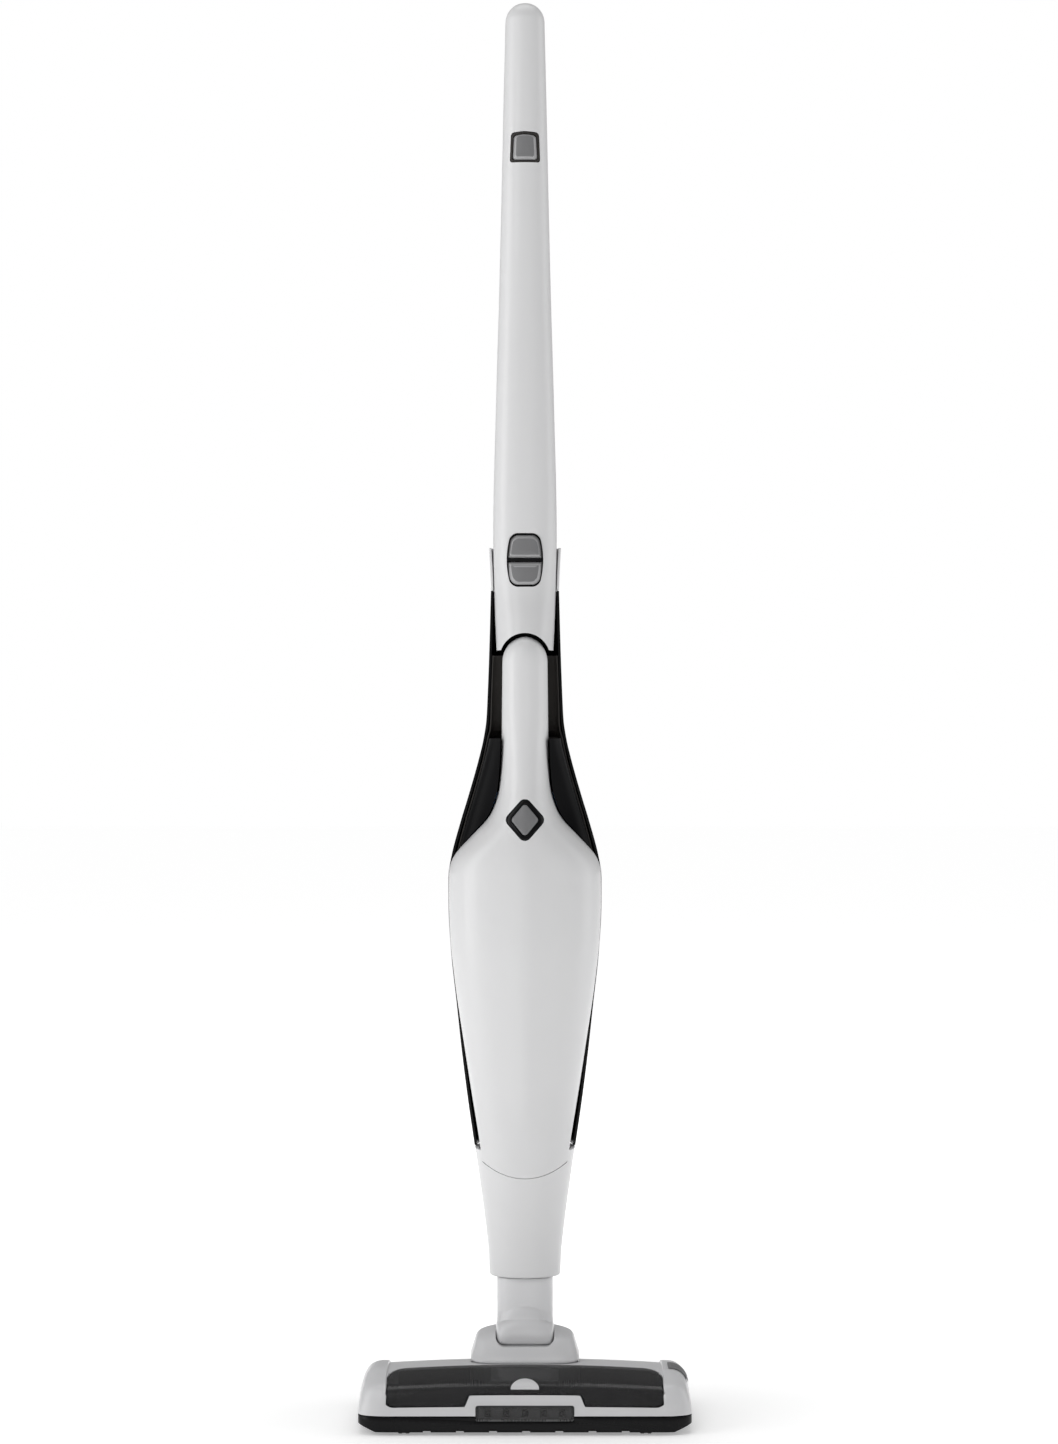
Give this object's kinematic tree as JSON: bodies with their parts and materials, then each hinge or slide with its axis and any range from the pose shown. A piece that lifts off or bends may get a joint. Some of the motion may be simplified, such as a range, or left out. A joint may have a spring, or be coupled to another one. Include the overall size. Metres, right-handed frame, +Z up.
{
  "type": "cordless stick vacuum cleaner",
  "caption": "Upright cordless stick vacuum: slim handle, tapered body with a lift-off hand unit, folding swivel neck and a wide floor head with a smoked brush window.",
  "frame": {"origin": "on the floor, under the middle of the whole object's box", "axes": "+Z up along the stick, -Y towards the front of the floor head, +X across the floor head"},
  "size_m": [0.26, 0.132, 1.13],
  "materials": {
    "white_shell": "satin white moulding",
    "light_grey": "satin light grey moulding",
    "button_grey": "satin grey button",
    "gloss_black": "glossy black moulding",
    "dark_matte": "matte dark moulding",
    "smoked": "smoked see-through plastic",
    "rubber": "matte black rubber",
    "bristle": "nylon bristles on a sleeve",
    "steel": "bright steel",
    "motor_case": "plated motor case",
    "board": "green circuit board",
    "cell": "shrink wrap",
    "foam": "open filter foam"
  },
  "bodies": {
    "floor_head": {"head_base": "gloss_black", "head_top_frame": "light_grey", "rear_felt_strip": "rubber", "headlight_lens": "smoked", "headlight_board": "board", "brush_motor": "motor_case", "drive_belt": "rubber", "rear_axle": "steel", "swivel_housing": "light_grey", "pivot_pin_left": "steel", "pivot_pin_right": "steel", "suction_mouth_duct": "button_grey"},
    "window": {"brush_window": "smoked"},
    "window_tab": {"window_release_tab": "light_grey"},
    "brush_roll": {"brush_core": "dark_matte", "bristle_sleeve": "bristle"},
    "pinion": {"motor_pinion": "steel"},
    "front_roller_l": {"front_roller_left": "dark_matte"},
    "front_roller_r": {"front_roller_right": "dark_matte"},
    "rear_wheel_l": {"rear_wheel_left": "rubber"},
    "rear_wheel_r": {"rear_wheel_right": "rubber"},
    "brush_release": {"brush_release_slider": "button_grey"},
    "neck": {"neck_tube": "light_grey"},
    "stick": {"socket_shell": "white_shell", "spine_rear_shell": "gloss_black", "cradle_liner": "dark_matte", "stick_collar": "light_grey", "suction_duct": "dark_matte", "dock_gasket": "rubber", "dock_seat": "dark_matte", "swivel_ring": "dark_matte", "charging_jack": "dark_matte", "spine_screw_1": "steel", "spine_screw_2": "steel"},
    "upper_handle": {"handle_front_shell": "white_shell", "handle_rear_shell": "white_shell", "twin_button_frame": "gloss_black", "power_button_bezel": "dark_matte", "switch_board": "board", "handle_screw_1": "steel"},
    "power_switch": {"power_button": "button_grey"},
    "handle_release": {"handle_release_button": "button_grey"},
    "hand_unit_release": {"hand_unit_release_button": "button_grey", "hand_unit_catch": "dark_matte"},
    "hand_unit": {"hand_unit_front_cover": "white_shell", "hand_unit_rear_housing": "gloss_black", "dust_cup": "smoked", "nose_floor": "rubber", "shoulder_trim_left": "gloss_black", "shoulder_trim_right": "gloss_black", "diamond_bezel": "gloss_black", "hand_unit_board": "board", "filter_cone": "dark_matte", "filter_element": "foam", "fan_motor": "motor_case", "battery_pack": "cell"},
    "hand_unit_switch": {"hand_unit_power_button": "button_grey"},
    "fan": {"fan_impeller": "light_grey"},
    "flap": {"inlet_flap": "rubber"}
  },
  "joints": [
    {"name": "stick_fold", "type": "hinge", "parent": "floor_head", "child": "neck", "pos_m": [0, 0.012, 0.044], "axis": [-1, 0, 0], "range_deg": [0, 72]},
    {"name": "stick_swivel", "type": "hinge", "parent": "neck", "child": "stick", "pos_m": [0, 0.012, 0.12], "axis": [0, 0, 1], "range_deg": [-90, 90]},
    {"name": "handle_lift_out", "type": "slide", "parent": "stick", "child": "upper_handle", "axis": [0, 0, 1], "range_m": [0, 0.09]},
    {"name": "hand_unit_lift_off", "type": "slide", "parent": "stick", "child": "hand_unit", "axis": [0, -1, 0], "range_m": [0, 0.13]},
    {"name": "power_press", "type": "slide", "parent": "upper_handle", "child": "power_switch", "axis": [0, 1, 0], "range_m": [0, 0.0016], "stiffness_N_per_m": 600},
    {"name": "handle_release_press", "type": "slide", "parent": "upper_handle", "child": "handle_release", "axis": [0, 1, 0], "range_m": [0, 0.0025], "stiffness_N_per_m": 600},
    {"name": "hand_unit_release_press", "type": "slide", "parent": "upper_handle", "child": "hand_unit_release", "axis": [0, 1, 0], "range_m": [0, 0.0025], "stiffness_N_per_m": 600},
    {"name": "hand_unit_power_press", "type": "slide", "parent": "hand_unit", "child": "hand_unit_switch", "axis": [0, 1, 0], "range_m": [0, 0.0015], "stiffness_N_per_m": 600},
    {"name": "window_lift", "type": "hinge", "parent": "floor_head", "child": "window", "pos_m": [0, -0.0262, 0.0472], "axis": [-1, 0, 0], "range_deg": [0, 55]},
    {"name": "window_tab_press", "type": "slide", "parent": "window", "child": "window_tab", "axis": [0, 0.3499, -0.9368], "range_m": [0, 0.0006], "stiffness_N_per_m": 600},
    {"name": "brush_release_slide", "type": "slide", "parent": "floor_head", "child": "brush_release", "axis": [0, -1, 0], "range_m": [0, 0.003], "stiffness_N_per_m": 300},
    {"name": "brush_spin", "type": "hinge", "parent": "floor_head", "child": "brush_roll", "pos_m": [0, -0.036, 0.0195], "axis": [1, 0, 0], "continuous": true},
    {"name": "pinion_spin", "type": "hinge", "parent": "floor_head", "child": "pinion", "pos_m": [0.105, 0.022, 0.0235], "axis": [1, 0, 0], "continuous": true},
    {"name": "front_roller_l_spin", "type": "hinge", "parent": "floor_head", "child": "front_roller_l", "pos_m": [-0.094, -0.0585, 0.005], "axis": [1, 0, 0], "continuous": true},
    {"name": "front_roller_r_spin", "type": "hinge", "parent": "floor_head", "child": "front_roller_r", "pos_m": [0.094, -0.0585, 0.005], "axis": [1, 0, 0], "continuous": true},
    {"name": "rear_wheel_l_spin", "type": "hinge", "parent": "floor_head", "child": "rear_wheel_l", "pos_m": [-0.088, 0.051, 0.015], "axis": [1, 0, 0], "continuous": true},
    {"name": "rear_wheel_r_spin", "type": "hinge", "parent": "floor_head", "child": "rear_wheel_r", "pos_m": [0.088, 0.051, 0.015], "axis": [1, 0, 0], "continuous": true},
    {"name": "fan_spin", "type": "hinge", "parent": "hand_unit", "child": "fan", "pos_m": [0, -0.002, 0.36], "axis": [0, 0, 1], "continuous": true},
    {"name": "flap_swing", "type": "hinge", "parent": "hand_unit", "child": "flap", "pos_m": [0, 0.0238, 0.2126], "axis": [-1, 0, 0], "range_deg": [0, 45]}
  ],
  "couplings": [
    {"joint": "pinion_spin", "follows": "brush_spin", "ratio": 2}
  ]
}
